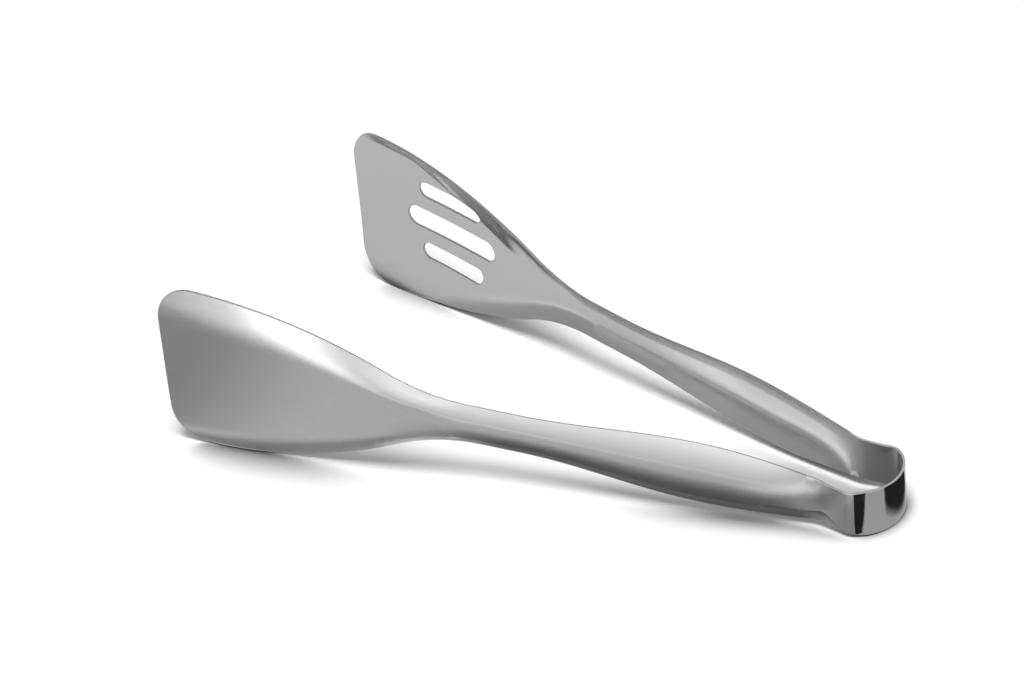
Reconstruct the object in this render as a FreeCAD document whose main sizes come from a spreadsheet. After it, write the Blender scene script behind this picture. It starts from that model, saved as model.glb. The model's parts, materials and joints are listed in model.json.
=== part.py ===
"""Spring tongs of pressed stainless steel sheet, lying on their side as they rest on a table.

Two arms, one with a solid blade and one with a slotted blade, are welded to the two legs of
a bow of springy strip.  The drawing frame has X from the back of the bow towards the tips,
Y across the jaws with the solid blade at +Y, and Z along the height of the strip.  Each arm
is drawn straight along its own X axis and then turned outwards.  At the end the whole tool
is tipped until the bow and both blades touch the table.  Millimetres and degrees.
"""
import FreeCAD, Part
import math
import os
import Sketcher
from FreeCAD import Placement, Rotation, Vector

SIZES = {
    # strip and bow
    "sheetThickness": 1.0,
    "bowHeight": 20.1,
    "bowBackRadius": 18.5,
    "bowBackTurn": 58.0,
    "bowCornerRadius": 6.5,
    "legConvergence": 8.5,
    "legLength": 10.0,
    "waistBendRadius": 18.0,
    "seamStub": 0.6,
    "waistStation": 18.5,
    "waistHeight": 18.1,
    "waistScallopRadius": 80.0,
    "seamCrown": 0.15,
    # arms: how far each opens, and how far the rims lie inside the line of the strip
    "spreadAngle": 11.15,
    "lipInset": 1.25,
    "neckInset": 1.75,
    "bladeInset": 0.45,
    "tipHook": 3.0,
    # handle and neck of an arm: lengths, heights across the rims and depths of the channel
    "gripLength": 43.6,
    "gripHeight": 27.2,
    "gripDepth": 6.0,
    "taperLength": 74.6,
    "neckLength": 17.3,
    "neckHeight": 17.3,
    "neckDepth": 3.6,
    # blade: its side edges are a fillet out of the neck and then a long arc
    "bladeLength": 132.3,
    "neckFilletRadius": 81.0,
    "flareAngle": 25.5,
    "bladeEdgeRadius": 197.0,
    "dishDepth": 5.2,
    "tipDepth": 1.4,
    # blade end
    "tipSlant": 2.3,
    "tipTopRadius": 15.4,
    "tipBottomRadius": 14.9,
    # slots in the slotted blade
    "slotSetback": 49.8,
    "slotPitch": 14.6,
    "slotRise": 1.3,
    "slotTilt": 3.2,
    "middleSlotLength": 46.1,
    "middleSlotWidth": 9.0,
    "outerSlotLength": 32.4,
    "outerSlotWidth": 6.9,
}

GRIP_STEPS = 4            # sections drawn from the seam to the fullest part of the handle
TAPER_STEPS = 4           # sections from there to the neck
FILLET_STEPS = 3          # sections along the fillet of the blade
EDGE_STEPS = 6            # sections along the long edge of the blade
CUT_MARGIN = 5.0          # how far a cutting outline stands clear of the sheet
LOFT_OVERRUN = 1.0        # how far the sheet is drawn past its trimmed end
CONTACT_FINENESS = 0.02   # facet error used to find where the tool touches the table

ORIGIN = (-1, 1)          # the sketch origin, as a geometry and point index
X_AXIS = -1               # the sketch's horizontal axis
ARC_CENTRE = 3

doc = FreeCAD.newDocument("SpringTongs")


def make_sheet():
    sheet = doc.addObject("Spreadsheet::Sheet", "Sizes")
    for row, (alias, value) in enumerate(SIZES.items(), start=1):
        sheet.set("A%d" % row, alias)
        sheet.set("B%d" % row, repr(value))
        sheet.setAlias("B%d" % row, alias)
    doc.recompute()
    return sheet


sheet = make_sheet()


def size(alias):
    return float(getattr(sheet, alias))


def cosine(angle):
    return math.cos(math.radians(angle))


def sine(angle):
    return math.sin(math.radians(angle))


# Where the leg of the bow ends and the arm begins, as expressions on the sheet.
SEAM_X = ("(Sizes.sheetThickness / 2 + Sizes.bowBackRadius * (1 - cos(Sizes.bowBackTurn))"
          " + Sizes.bowCornerRadius * (cos(Sizes.bowBackTurn) + sin(Sizes.legConvergence))"
          " + Sizes.legLength * cos(Sizes.legConvergence)"
          " + Sizes.waistBendRadius * (sin(Sizes.legConvergence) + sin(Sizes.spreadAngle))"
          " + Sizes.seamStub * cos(Sizes.spreadAngle))")
SEAM_Y = ("(Sizes.bowBackRadius * sin(Sizes.bowBackTurn)"
          " + Sizes.bowCornerRadius * (cos(Sizes.legConvergence) - sin(Sizes.bowBackTurn))"
          " - Sizes.legLength * sin(Sizes.legConvergence)"
          " + Sizes.waistBendRadius * (cos(Sizes.legConvergence) - cos(Sizes.spreadAngle))"
          " + Sizes.seamStub * sin(Sizes.spreadAngle))")
SEAM_HALF_HEIGHT = ("min(Sizes.bowHeight / 2; Sizes.waistHeight / 2 + Sizes.waistScallopRadius"
                    " - sqrt(Sizes.waistScallopRadius ^ 2"
                    " - (" + SEAM_X + " - Sizes.waistStation) ^ 2))")
BLADE_START = "(Sizes.gripLength + Sizes.taperLength + Sizes.neckLength)"
ARM_LENGTH = "(" + BLADE_START + " + Sizes.bladeLength)"
FLARE_END = "(%s + Sizes.neckFilletRadius * sin(Sizes.flareAngle))" % BLADE_START
BLADE_HALF_HEIGHT = ("(Sizes.neckHeight / 2 + (Sizes.neckFilletRadius + Sizes.bladeEdgeRadius)"
                     " * (1 - cos(Sizes.flareAngle)))")
SHEET_END = ("(%s + %s * tan(Sizes.tipSlant) + %s)"
             % (ARM_LENGTH, BLADE_HALF_HEIGHT, LOFT_OVERRUN))


def value_of(expression):
    return float(sheet.evalExpression(expression))


def plane_of(body, role):
    return next(item for item in body.Origin.OriginFeatures if item.Role == role)


def new_sketch(body, name, role, offset=None):
    """A sketch on one of the body's own planes, moved out along it by an expression."""
    sketch = body.newObject("Sketcher::SketchObject", name)
    sketch.AttachmentSupport = [(plane_of(body, role), "")]
    sketch.MapMode = "FlatFace"
    if offset is not None:
        sketch.setExpression("AttachmentOffset.Base.z", offset)
    return sketch


def dimension(sketch, kind, name, where, expression):
    """Adds one driving dimension and binds it to the sheet."""
    value = value_of(expression)
    if kind == "Angle":
        value = math.radians(value)
        expression = "(" + expression + ") * 1 deg"
    index = sketch.addConstraint(Sketcher.Constraint(kind, *where, value))
    sketch.renameConstraint(index, name)
    sketch.setExpression("Constraints." + name, expression)


def between(first, second, share):
    """The size a given share of the way from the first to the second."""
    return "((%s) * %s + (%s) * %s)" % (first, 1 - share, second, share)


def line(sketch, start, end):
    return sketch.addGeometry(Part.LineSegment(Vector(*start, 0), Vector(*end, 0)))


def arc(sketch, centre, radius, start_angle, end_angle):
    circle = Part.Circle(Vector(*centre, 0), Vector(0, 0, 1), radius)
    return sketch.addGeometry(
        Part.ArcOfCircle(circle, math.radians(start_angle), math.radians(end_angle)))


def join(sketch, *ends):
    """Makes pairs of curve ends coincide, given as (geometry, point, geometry, point)."""
    for pair in ends:
        sketch.addConstraint(Sketcher.Constraint("Coincident", *pair))


# ---------------------------------------------------------------- spring bow


def bow_spine(body):
    """Half of the strip's middle line in plan: back, corner, leg, waist bend and stub."""
    sketch = new_sketch(body, "BowSpine", "XY_Plane")
    back_radius = size("bowBackRadius")
    corner_radius = size("bowCornerRadius")
    bend_radius = size("waistBendRadius")
    turn = size("bowBackTurn")
    inward = size("legConvergence")
    outward = size("spreadAngle")
    start_x = size("sheetThickness") / 2
    back_centre = (start_x + back_radius, 0.0)
    corner_x = back_centre[0] - (back_radius - corner_radius) * cosine(turn)
    corner_y = (back_radius - corner_radius) * sine(turn)
    leg_start = (corner_x + corner_radius * sine(inward),
                 corner_y + corner_radius * cosine(inward))
    leg_end = (leg_start[0] + size("legLength") * cosine(inward),
               leg_start[1] - size("legLength") * sine(inward))
    bend_centre = (leg_end[0] + bend_radius * sine(inward),
                   leg_end[1] + bend_radius * cosine(inward))
    stub_start = (bend_centre[0] + bend_radius * sine(outward),
                  bend_centre[1] - bend_radius * cosine(outward))
    stub_end = (stub_start[0] + size("seamStub") * cosine(outward),
                stub_start[1] + size("seamStub") * sine(outward))

    back = arc(sketch, back_centre, back_radius, 180 - turn, 180)
    corner = arc(sketch, (corner_x, corner_y), corner_radius, 90 - inward, 180 - turn)
    leg = line(sketch, leg_start, leg_end)
    bend = arc(sketch, bend_centre, bend_radius, 270 - inward, 270 + outward)
    stub = line(sketch, stub_start, stub_end)

    sketch.addConstraint(Sketcher.Constraint("PointOnObject", back, ARC_CENTRE, X_AXIS))
    sketch.addConstraint(Sketcher.Constraint("PointOnObject", back, 2, X_AXIS))
    sketch.addConstraint(Sketcher.Constraint("Tangent", corner, 2, back, 1))
    sketch.addConstraint(Sketcher.Constraint("Tangent", leg, 1, corner, 1))
    sketch.addConstraint(Sketcher.Constraint("Tangent", bend, 1, leg, 2))
    sketch.addConstraint(Sketcher.Constraint("Tangent", stub, 1, bend, 2))
    dimension(sketch, "DistanceX", "backFace", (*ORIGIN, back, 2), "Sizes.sheetThickness / 2")
    dimension(sketch, "Radius", "backRadius", (back,), "Sizes.bowBackRadius")
    dimension(sketch, "DistanceY", "backRise", (*ORIGIN, back, 1),
              "Sizes.bowBackRadius * sin(Sizes.bowBackTurn)")
    dimension(sketch, "Radius", "cornerRadius", (corner,), "Sizes.bowCornerRadius")
    dimension(sketch, "Angle", "legAngle", (leg,), "-Sizes.legConvergence")
    dimension(sketch, "Distance", "legLength", (leg,), "Sizes.legLength")
    dimension(sketch, "Radius", "bendRadius", (bend,), "Sizes.waistBendRadius")
    dimension(sketch, "Angle", "stubAngle", (stub,), "Sizes.spreadAngle")
    dimension(sketch, "Distance", "stubLength", (stub,), "Sizes.seamStub")
    return sketch


def strip_section(body):
    """The strip's section at the middle of the back."""
    sketch = new_sketch(body, "StripSection", "XZ_Plane")
    thickness = size("sheetThickness")
    half = size("bowHeight") / 2
    corners = [(0, -half), (thickness, -half), (thickness, half), (0, half)]
    sides = [line(sketch, corners[i], corners[(i + 1) % 4]) for i in range(4)]
    join(sketch, *[(sides[i], 2, sides[(i + 1) % 4], 1) for i in range(4)])
    for side in (sides[0], sides[2]):
        sketch.addConstraint(Sketcher.Constraint("Horizontal", side))
    for side in (sides[1], sides[3]):
        sketch.addConstraint(Sketcher.Constraint("Vertical", side))
    sketch.addConstraint(Sketcher.Constraint("PointOnObject", sides[3], 1, -2))
    dimension(sketch, "DistanceX", "thickness", (sides[0], 1, sides[0], 2), "Sizes.sheetThickness")
    dimension(sketch, "DistanceY", "height", (sides[1], 1, sides[1], 2), "Sizes.bowHeight")
    dimension(sketch, "DistanceY", "halfHeight", (*ORIGIN, sides[2], 1), "Sizes.bowHeight / 2")
    return sketch


def waist_scallop(body):
    """Two wide circles that take the strip down to its narrow waist, above and below."""
    sketch = new_sketch(body, "WaistScallop", "XZ_Plane")
    radius = size("waistScallopRadius")
    distance = size("waistHeight") / 2 + radius
    for name, sign in (("upper", 1), ("lower", -1)):
        centre = (size("waistStation"), sign * distance)
        circle = sketch.addGeometry(
            Part.Circle(Vector(*centre, 0), Vector(0, 0, 1), radius))
        upward = (*ORIGIN, circle, ARC_CENTRE) if sign > 0 else (circle, ARC_CENTRE, *ORIGIN)
        dimension(sketch, "Radius", name + "Radius", (circle,), "Sizes.waistScallopRadius")
        dimension(sketch, "DistanceX", name + "Station", (*ORIGIN, circle, ARC_CENTRE),
                  "Sizes.waistStation")
        dimension(sketch, "DistanceY", name + "Distance", upward,
                  "Sizes.waistHeight / 2 + Sizes.waistScallopRadius")
    return sketch


def make_bow():
    body = doc.addObject("PartDesign::Body", "SpringBow")
    body.Label = "spring_bow"
    half = body.newObject("PartDesign::AdditivePipe", "HalfStrip")
    spine = bow_spine(body)
    section = strip_section(body)
    doc.recompute()
    half.Profile = (section, [""])
    half.Spine = (spine, ["Edge%d" % (i + 1) for i in range(len(spine.Shape.Edges))])
    doc.recompute()
    whole = body.newObject("PartDesign::Mirrored", "OtherHalf")
    whole.Originals = [half]
    whole.MirrorPlane = (plane_of(body, "XZ_Plane"), [""])
    body.Tip = whole
    doc.recompute()
    waist = body.newObject("PartDesign::Pocket", "Waist")
    waist.Profile = (waist_scallop(body), [""])
    waist.SideType = "Symmetric"
    waist.Type = "ThroughAll"
    body.Tip = waist
    doc.recompute()
    return body


# ---------------------------------------------------------------- arms


def arm_section(body, name, side, station, half_height, depth, inset):
    """A curved band of sheet: concentric arcs through the rims, hollow towards the jaws.

    side is 1 for the arm at +Y and -1 for the other.  The middle line of the band rises
    from the rims by depth, and the rims lie inset inside the line of the strip.
    """
    sketch = new_sketch(body, name, "YZ_Plane", station)
    middle_radius = "((%s) ^ 2 + (%s) ^ 2) / (2 * (%s))" % (half_height, depth, depth)
    outer_radius = "(%s + Sizes.sheetThickness / 2)" % middle_radius
    inner_radius = "(%s - Sizes.sheetThickness / 2)" % middle_radius
    centre_distance = "%s - (%s) + (%s)" % (middle_radius, depth, inset)
    rim_share = "(%s) / (%s)" % (half_height, middle_radius)

    centre = (-side * value_of(centre_distance), 0)
    half_angle = math.degrees(math.asin(value_of(rim_share)))
    middle_angle = 0 if side > 0 else 180
    angles = (middle_angle - half_angle, middle_angle + half_angle)
    outer = arc(sketch, centre, value_of(outer_radius), *angles)
    inner = arc(sketch, centre, value_of(inner_radius), *angles)
    rims = []
    for end in (1, 2):
        points = [sketch.getPoint(curve, end) for curve in (outer, inner)]
        rims.append(line(sketch, points[0][:2], points[1][:2]))
    join(sketch, (inner, ARC_CENTRE, outer, ARC_CENTRE))
    for end, rim in zip((1, 2), rims):
        join(sketch, (rim, 1, outer, end), (rim, 2, inner, end))
    sketch.addConstraint(Sketcher.Constraint("PointOnObject", outer, ARC_CENTRE, X_AXIS))
    to_centre = (outer, ARC_CENTRE, *ORIGIN) if side > 0 else (*ORIGIN, outer, ARC_CENTRE)
    dimension(sketch, "DistanceX", "centreDistance", to_centre, centre_distance)
    for curve, curve_name, radius in ((outer, "outer", outer_radius), (inner, "inner", inner_radius)):
        dimension(sketch, "Radius", curve_name + "Radius", (curve,), radius)
        rise = "%s * %s" % (radius, rim_share)
        low, high = (1, 2) if side > 0 else (2, 1)
        dimension(sketch, "DistanceY", curve_name + "Top", (*ORIGIN, curve, high), rise)
        dimension(sketch, "DistanceY", curve_name + "Bottom", (curve, low, *ORIGIN), rise)
    return sketch


def arm_profile():
    """Name, station, half height, depth and inset of each section of an arm."""
    rows = [("Seam", "0", SEAM_HALF_HEIGHT, "Sizes.seamCrown", "0")]
    for step in range(1, GRIP_STEPS + 1):
        share = step / GRIP_STEPS
        rows.append((
            "Grip%d" % step,
            "Sizes.gripLength * %s" % share,
            "%s + (Sizes.gripHeight / 2 - %s) * sin(90 * %s)"
            % (SEAM_HALF_HEIGHT, SEAM_HALF_HEIGHT, share),
            "Sizes.seamCrown + (Sizes.gripDepth - Sizes.seamCrown) * %s" % (1 - (1 - share) ** 3),
            "Sizes.lipInset * %s" % (1 - (1 - share) ** 2)))
    for step in range(1, TAPER_STEPS + 1):
        share = (1 - math.cos(math.pi * step / TAPER_STEPS)) / 2
        rows.append((
            "Taper%d" % step,
            "Sizes.gripLength + Sizes.taperLength * %s" % (step / TAPER_STEPS),
            between("Sizes.gripHeight / 2", "Sizes.neckHeight / 2", share),
            between("Sizes.gripDepth", "Sizes.neckDepth", share),
            between("Sizes.lipInset", "Sizes.neckInset", share)))
    rows.append(("Neck", BLADE_START, "Sizes.neckHeight / 2", "Sizes.neckDepth",
                 "Sizes.neckInset"))
    for step in range(1, FILLET_STEPS + 1):
        share = step / FILLET_STEPS
        angle = "(Sizes.flareAngle * %s)" % share
        rows.append((
            "Flare%d" % step,
            "%s + Sizes.neckFilletRadius * sin%s" % (BLADE_START, angle),
            "Sizes.neckHeight / 2 + Sizes.neckFilletRadius * (1 - cos%s)" % angle,
            between("Sizes.neckDepth", "Sizes.dishDepth", share),
            between("Sizes.neckInset", "Sizes.bladeInset", share)))
    end_angle = ("(asin(sin(Sizes.flareAngle) - (%s - %s) / Sizes.bladeEdgeRadius) / (1 deg))"
                 % (SHEET_END, FLARE_END))
    for step in range(1, EDGE_STEPS + 1):
        share = step / EDGE_STEPS
        angle = "(Sizes.flareAngle + (%s - Sizes.flareAngle) * %s)" % (end_angle, share)
        rows.append((
            "Edge%d" % step,
            "%s + Sizes.bladeEdgeRadius * (sin(Sizes.flareAngle) - sin%s)" % (FLARE_END, angle),
            "%s - Sizes.bladeEdgeRadius * (1 - cos%s)" % (BLADE_HALF_HEIGHT, angle),
            between("Sizes.tipDepth", "Sizes.dishDepth", math.cos(math.pi / 2 * share)),
            between("Sizes.bladeInset", "Sizes.tipHook", share ** 3)))
    return rows


def arm_sections(body, side):
    return [arm_section(body, name + "Section", side, *row) for name, *row in arm_profile()]


def tip_outline(body):
    """What is cut away beyond the end of the blade: a slanted edge with two round corners."""
    sketch = new_sketch(body, "TipOutline", "XZ_Plane")
    length = value_of(ARM_LENGTH)
    half = value_of(BLADE_HALF_HEIGHT)
    slant = size("tipSlant")
    top_radius = size("tipTopRadius")
    bottom_radius = size("tipBottomRadius")
    outside = half + CUT_MARGIN
    beyond = value_of(SHEET_END) + CUT_MARGIN

    def corner(sign, radius):
        z = sign * (half - radius)
        x = length + z * math.tan(math.radians(slant)) - radius / cosine(slant)
        touch = (x + radius * cosine(slant), z - radius * sine(slant))
        return (x, z), touch

    top_centre, top_touch = corner(1, top_radius)
    bottom_centre, bottom_touch = corner(-1, bottom_radius)
    edge = line(sketch, bottom_touch, top_touch)
    top = arc(sketch, top_centre, top_radius, -slant, 90)
    bottom = arc(sketch, bottom_centre, bottom_radius, 270, 360 - slant)
    points = [(top_centre[0], half), (top_centre[0], outside), (beyond, outside),
              (beyond, -outside), (bottom_centre[0], -outside), (bottom_centre[0], -half)]
    frame = [line(sketch, points[i], points[i + 1]) for i in range(len(points) - 1)]
    foot = sketch.addGeometry(Part.Point(Vector(length, 0, 0)))
    join(sketch, (frame[0], 1, top, 2), (frame[-1], 2, bottom, 1),
         *[(frame[i], 2, frame[i + 1], 1) for i in range(len(frame) - 1)])
    for upright in (frame[0], frame[2], frame[4]):
        sketch.addConstraint(Sketcher.Constraint("Vertical", upright))
    for level in (frame[1], frame[3]):
        sketch.addConstraint(Sketcher.Constraint("Horizontal", level))
    sketch.addConstraint(Sketcher.Constraint("Tangent", edge, 2, top, 1))
    sketch.addConstraint(Sketcher.Constraint("Tangent", edge, 1, bottom, 2))
    sketch.addConstraint(Sketcher.Constraint("Vertical", top, ARC_CENTRE, top, 2))
    sketch.addConstraint(Sketcher.Constraint("Vertical", bottom, ARC_CENTRE, bottom, 1))
    sketch.addConstraint(Sketcher.Constraint("PointOnObject", foot, 1, X_AXIS))
    sketch.addConstraint(Sketcher.Constraint("PointOnObject", foot, 1, edge))
    dimension(sketch, "DistanceX", "armLength", (*ORIGIN, foot, 1), ARM_LENGTH)
    dimension(sketch, "Angle", "slant", (edge,), "90 - Sizes.tipSlant")
    dimension(sketch, "Radius", "topRadius", (top,), "Sizes.tipTopRadius")
    dimension(sketch, "Radius", "bottomRadius", (bottom,), "Sizes.tipBottomRadius")
    dimension(sketch, "DistanceY", "topRim", (*ORIGIN, top, 2), BLADE_HALF_HEIGHT)
    dimension(sketch, "DistanceY", "bottomRim", (bottom, 1, *ORIGIN), BLADE_HALF_HEIGHT)
    dimension(sketch, "DistanceY", "outsideTop", (*ORIGIN, frame[1], 1),
              "%s + %s" % (BLADE_HALF_HEIGHT, CUT_MARGIN))
    dimension(sketch, "DistanceY", "outsideBottom", (frame[3], 1, *ORIGIN),
              "%s + %s" % (BLADE_HALF_HEIGHT, CUT_MARGIN))
    dimension(sketch, "DistanceX", "beyond", (*ORIGIN, frame[2], 1),
              "%s + %s" % (SHEET_END, CUT_MARGIN))
    return sketch


def slot_outlines(body):
    """Three round-ended slots that climb a little towards the tip, the middle one the longest."""
    sketch = new_sketch(body, "SlotOutlines", "XZ_Plane")
    centre_x = value_of(ARM_LENGTH) - size("slotSetback")
    tilt = size("slotTilt")
    for name, level in (("lower", -1), ("middle", 0), ("upper", 1)):
        kind = "middle" if level == 0 else "outer"
        radius = size(kind + "SlotWidth") / 2
        reach = size(kind + "SlotLength") / 2 - radius
        z = size("slotRise") + level * size("slotPitch")
        along = (reach * cosine(tilt), reach * sine(tilt))
        aside = (-radius * sine(tilt), radius * cosine(tilt))
        heel = (centre_x - along[0], z - along[1])
        toe = (centre_x + along[0], z + along[1])
        near = arc(sketch, heel, radius, 90 + tilt, 270 + tilt)
        far = arc(sketch, toe, radius, tilt - 90, tilt + 90)
        bottom = line(sketch, (heel[0] - aside[0], heel[1] - aside[1]),
                      (toe[0] - aside[0], toe[1] - aside[1]))
        top = line(sketch, (toe[0] + aside[0], toe[1] + aside[1]),
                   (heel[0] + aside[0], heel[1] + aside[1]))
        middle = sketch.addGeometry(Part.Point(Vector(centre_x, z, 0)))
        sketch.addConstraint(Sketcher.Constraint("Tangent", bottom, 1, near, 2))
        sketch.addConstraint(Sketcher.Constraint("Tangent", far, 1, bottom, 2))
        sketch.addConstraint(Sketcher.Constraint("Tangent", top, 1, far, 2))
        sketch.addConstraint(Sketcher.Constraint("Tangent", near, 1, top, 2))
        sketch.addConstraint(
            Sketcher.Constraint("Symmetric", near, ARC_CENTRE, far, ARC_CENTRE, middle, 1))
        dimension(sketch, "Radius", name + "Radius", (near,), "Sizes.%sSlotWidth / 2" % kind)
        dimension(sketch, "Distance", name + "Reach", (near, ARC_CENTRE, far, ARC_CENTRE),
                  "Sizes.%sSlotLength - Sizes.%sSlotWidth" % (kind, kind))
        dimension(sketch, "Angle", name + "Tilt", (bottom,), "Sizes.slotTilt")
        dimension(sketch, "DistanceX", name + "Setback", (*ORIGIN, middle, 1),
                  "%s - Sizes.slotSetback" % ARM_LENGTH)
        upward = (*ORIGIN, middle, 1) if level >= 0 else (middle, 1, *ORIGIN)
        rise = "Sizes.slotRise + %d * Sizes.slotPitch" % level
        dimension(sketch, "DistanceY", name + "Level", upward, rise if level >= 0 else "-(%s)" % rise)
    return sketch


def cut_through(body, name, outline):
    pocket = body.newObject("PartDesign::Pocket", name)
    pocket.Profile = (outline, [""])
    pocket.SideType = "Symmetric"
    pocket.Type = "ThroughAll"
    body.Tip = pocket
    before = body.Shape.Volume
    doc.recompute()
    if not body.Shape.Volume < before:
        raise RuntimeError(name + " cut nothing")
    return pocket


def make_arm(name, label, side, slotted):
    body = doc.addObject("PartDesign::Body", name)
    body.Label = label
    sections = arm_sections(body, side)
    doc.recompute()
    blank = body.newObject("PartDesign::AdditiveLoft", name + "Blank")
    blank.Profile = (sections[0], [""])
    blank.Sections = [(section, [""]) for section in sections[1:]]
    body.Tip = blank
    doc.recompute()
    cut_through(body, name + "Tip", tip_outline(body))
    if slotted:
        cut_through(body, name + "Slots", slot_outlines(body))
    return body


# ---------------------------------------------------------------- assembly


def arm_place(side):
    """Stands an arm at its seam and turns it outwards by the spread angle."""
    seam = Vector(value_of(SEAM_X), side * value_of(SEAM_Y), 0)
    return Placement(seam, Rotation(Vector(0, 0, 1), side * size("spreadAngle")))


def facet_points(body, place):
    points = body.Shape.tessellate(CONTACT_FINENESS)[0]
    return [place.multVec(point) for point in points]


def lowest(points, tilt):
    turn = Rotation(Vector(0, 1, 0), tilt)
    return min(turn.multVec(point).z for point in points)


def resting_tilt(bow_points, arm_points):
    """The turn about Y that brings the bow and the blades down to one level."""
    level, steep = 0.0, -45.0
    for _ in range(40):
        tilt = (level + steep) / 2
        if lowest(arm_points, tilt) < lowest(bow_points, tilt):
            level = tilt
        else:
            steep = tilt
    return (level + steep) / 2


bow = make_bow()
solid_arm = make_arm("SolidArm", "solid_blade_arm", 1, False)
slotted_arm = make_arm("SlottedArm", "slotted_blade_arm", -1, True)
bodies = [(bow, Placement()), (solid_arm, arm_place(1)), (slotted_arm, arm_place(-1))]

bow_points = facet_points(*bodies[0])
arm_points = facet_points(*bodies[1]) + facet_points(*bodies[2])
tilt = resting_tilt(bow_points, arm_points)
tip_over = Placement(Vector(), Rotation(Vector(0, 1, 0), tilt))
tipped = [tip_over.multVec(point) for point in bow_points + arm_points]
low = [min(point[axis] for point in tipped) for axis in range(3)]
high = [max(point[axis] for point in tipped) for axis in range(3)]
to_origin = Placement(Vector(-(low[0] + high[0]) / 2, -(low[1] + high[1]) / 2, -low[2]), Rotation())
for body, place in bodies:
    body.Placement = to_origin * tip_over * place
doc.recompute()

for item in doc.Objects:
    if "Invalid" in item.State or "Error" in item.State:
        raise RuntimeError("%s failed: %s" % (item.Name, item.State))
for body, _ in bodies:
    if body.Shape.isNull() or not body.Shape.isValid() or len(body.Shape.Solids) != 1:
        raise RuntimeError(body.Label + " has no single valid solid")
os.makedirs("parts", exist_ok=True)
for body, _ in bodies:
    body.Shape.exportStep("parts/%s.step" % body.Label)

print("tilt", round(tilt, 4), "seam", round(value_of(SEAM_X), 3), round(value_of(SEAM_Y), 3))
print("size", [round(high[axis] - low[axis], 2) for axis in range(3)])
print("to origin", [round(value, 4) for value in to_origin.Base])
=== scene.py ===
import json
import math
import bpy
import numpy as np
from mathutils import Matrix, Vector, geometry


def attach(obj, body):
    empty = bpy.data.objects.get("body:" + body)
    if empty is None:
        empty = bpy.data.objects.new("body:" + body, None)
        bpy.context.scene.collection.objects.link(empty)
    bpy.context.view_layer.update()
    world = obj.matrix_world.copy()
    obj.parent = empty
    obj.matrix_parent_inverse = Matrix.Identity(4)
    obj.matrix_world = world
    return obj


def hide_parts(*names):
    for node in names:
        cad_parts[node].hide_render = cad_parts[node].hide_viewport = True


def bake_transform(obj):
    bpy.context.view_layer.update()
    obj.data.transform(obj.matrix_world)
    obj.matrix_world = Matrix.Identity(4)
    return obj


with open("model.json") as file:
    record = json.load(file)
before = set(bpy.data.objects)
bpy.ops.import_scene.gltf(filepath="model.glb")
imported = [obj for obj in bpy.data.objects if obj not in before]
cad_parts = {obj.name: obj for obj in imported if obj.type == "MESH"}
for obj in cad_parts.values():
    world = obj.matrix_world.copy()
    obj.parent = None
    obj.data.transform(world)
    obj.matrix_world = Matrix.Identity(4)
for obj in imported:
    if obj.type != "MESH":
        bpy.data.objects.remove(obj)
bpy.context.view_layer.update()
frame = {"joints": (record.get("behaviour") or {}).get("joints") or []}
print("frame loaded")

mm = 0.001
hingeInPlan = (9.0, -11.0, 0.0)  # where the slotted arm flexes, in the plan drawing of the tongs


def tablePlacement():
    # the plan is drawn level; the frame says how the tongs lean on the table
    hinge = next(joint for joint in frame["joints"] if joint["child"] == "slotted_arm")
    lean = Matrix.Rotation(math.atan2(hinge["axis"][0], hinge["axis"][2]), 4, "Y")
    place = Vector(hinge["pos_m"]) - lean @ (Vector(hingeInPlan) * mm)
    return np.array(Matrix.Translation(place) @ lean)


onTable = tablePlacement()


def toTable(points):
    return points * mm @ onTable[:3, :3].T + onTable[:3, 3]


def turned(vectors):
    return vectors @ onTable[:3, :3].T


def unit(vectors):
    return vectors / np.linalg.norm(vectors, axis=-1, keepdims=True)


sheet = {
    "thickness": 1.0,
    "edgeRadius": 0.35,  # the deburred edge
    "edgeSteps": 4,
    "edgeProbe": 0.05,  # the step that feels which way the sheet runs at an edge
    "faceProbe": 0.01,  # and on its faces
    "weldWithin": 1e-6,
}


def edgeProfile():
    # outward, off the middle, angle of the normal: round corner, flat edge, round corner
    radius = sheet["edgeRadius"]
    half = sheet["thickness"] / 2
    corner = [math.pi / 2 * step / sheet["edgeSteps"] for step in range(sheet["edgeSteps"] + 1)]
    upper = [(radius * (math.sin(a) - 1), half - radius * (1 - math.cos(a)), a) for a in corner]
    return upper + [(out, -off, math.pi - a) for out, off, a in reversed(upper)]


def makePiece(name, vertices, faces, normals, grain, edgeFaces=0):
    # grain is each vertex's place in metres, along the sheet and up it, for the polishing marks;
    # the last edgeFaces faces are the cut edge
    mesh = bpy.data.meshes.new(name)
    mesh.from_pydata(toTable(vertices).tolist(), [], faces)
    mesh.validate()
    mesh.update()
    mesh.polygons.foreach_set("use_smooth", [True] * len(mesh.polygons))
    faceCount = len(mesh.polygons)
    isEdge = [int(i >= faceCount - edgeFaces) for i in range(faceCount)]
    mesh.polygons.foreach_set("material_index", isEdge)
    mesh.normals_split_custom_set_from_vertices(turned(normals).tolist())
    alongSheet = mesh.uv_layers.new(name="alongSheet")
    for loop in mesh.loops:
        alongSheet.data[loop.index].uv = grain[loop.vertex_index]
    piece = bpy.data.objects.new(name, mesh)
    bpy.context.scene.collection.objects.link(piece)
    return piece


bow = {
    "height": 20.1,
    "backRadius": 18.5,
    "backTurn": 58.0,  # degrees, from the middle of the back to a corner
    "cornerRadius": 6.5,
    "legInward": 8.5,  # degrees
    "legLength": 10.0,
    "waistBend": 18.0,
    "stub": 0.6,  # straight strip between the last bend and the seam
    "waistAt": 18.5, "waistHeight": 18.1, "waistScallop": 80.0,
    "crown": 1.7, "crownRun": 15.0,  # the strip takes up the arm's curve over this length
    "alongStep": 0.35, "acrossSteps": 12,
}
spread = 11.15  # how far each arm opens, in degrees


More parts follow.
